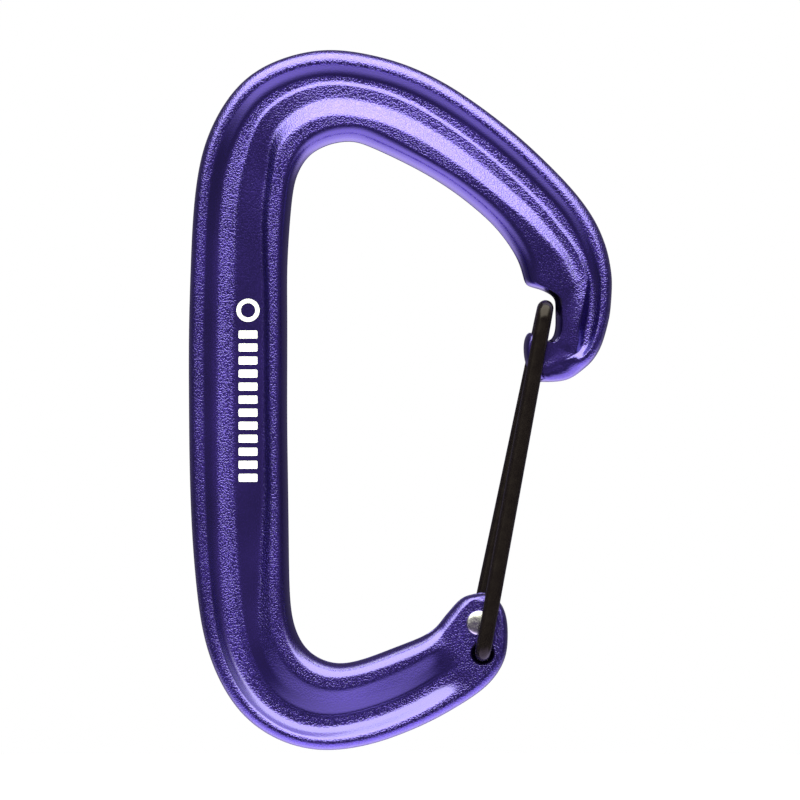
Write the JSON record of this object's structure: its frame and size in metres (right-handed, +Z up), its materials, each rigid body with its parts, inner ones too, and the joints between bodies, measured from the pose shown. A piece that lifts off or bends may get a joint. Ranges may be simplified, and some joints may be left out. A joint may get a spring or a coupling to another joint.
{
  "type": "wire-gate carabiner",
  "caption": "D-shaped snap link with a hooked nose and an inward-opening sprung wire gate, for clipping ropes, slings and gear.",
  "frame": {"origin": "where a rope or sling bears inside the top bend, in the middle plane", "axes": "+Z up along the load line from the lower basket to the upper one, +X from the spine towards the gate, Y through the thickness"},
  "size_m": [0.0585, 0.0104, 0.0968],
  "materials": {
    "anodised_frame": "violet anodised, fine blasted grain on the crests and satin in the recesses",
    "black_wire": "black coated, satin",
    "bare_wire_end": "bare, hammered over"
  },
  "bodies": {
    "frame": {"frame": "anodised_frame"},
    "front_leg": {"gate_front_leg": "black_wire", "gate_front_leg_head": "bare_wire_end"},
    "rear_leg": {"gate_rear_leg": "black_wire", "gate_rear_leg_head": "bare_wire_end"}
  },
  "joints": [
    {"name": "gate_front_hinge", "type": "hinge", "parent": "frame", "child": "front_leg", "pos_m": [0.0188, 0, -0.0707], "axis": [0, -1, 0], "range_deg": [0, 42], "stiffness_Nm_per_rad": 0.3, "springref_deg": -22.92},
    {"name": "gate_rear_hinge", "type": "hinge", "parent": "frame", "child": "rear_leg", "pos_m": [0.0183, 0, -0.0665], "axis": [0, -1, 0], "range_deg": [0, 46]}
  ],
  "couplings": [
    {"joint": "gate_rear_hinge", "follows": "gate_front_hinge", "ratio": 1.093}
  ]
}
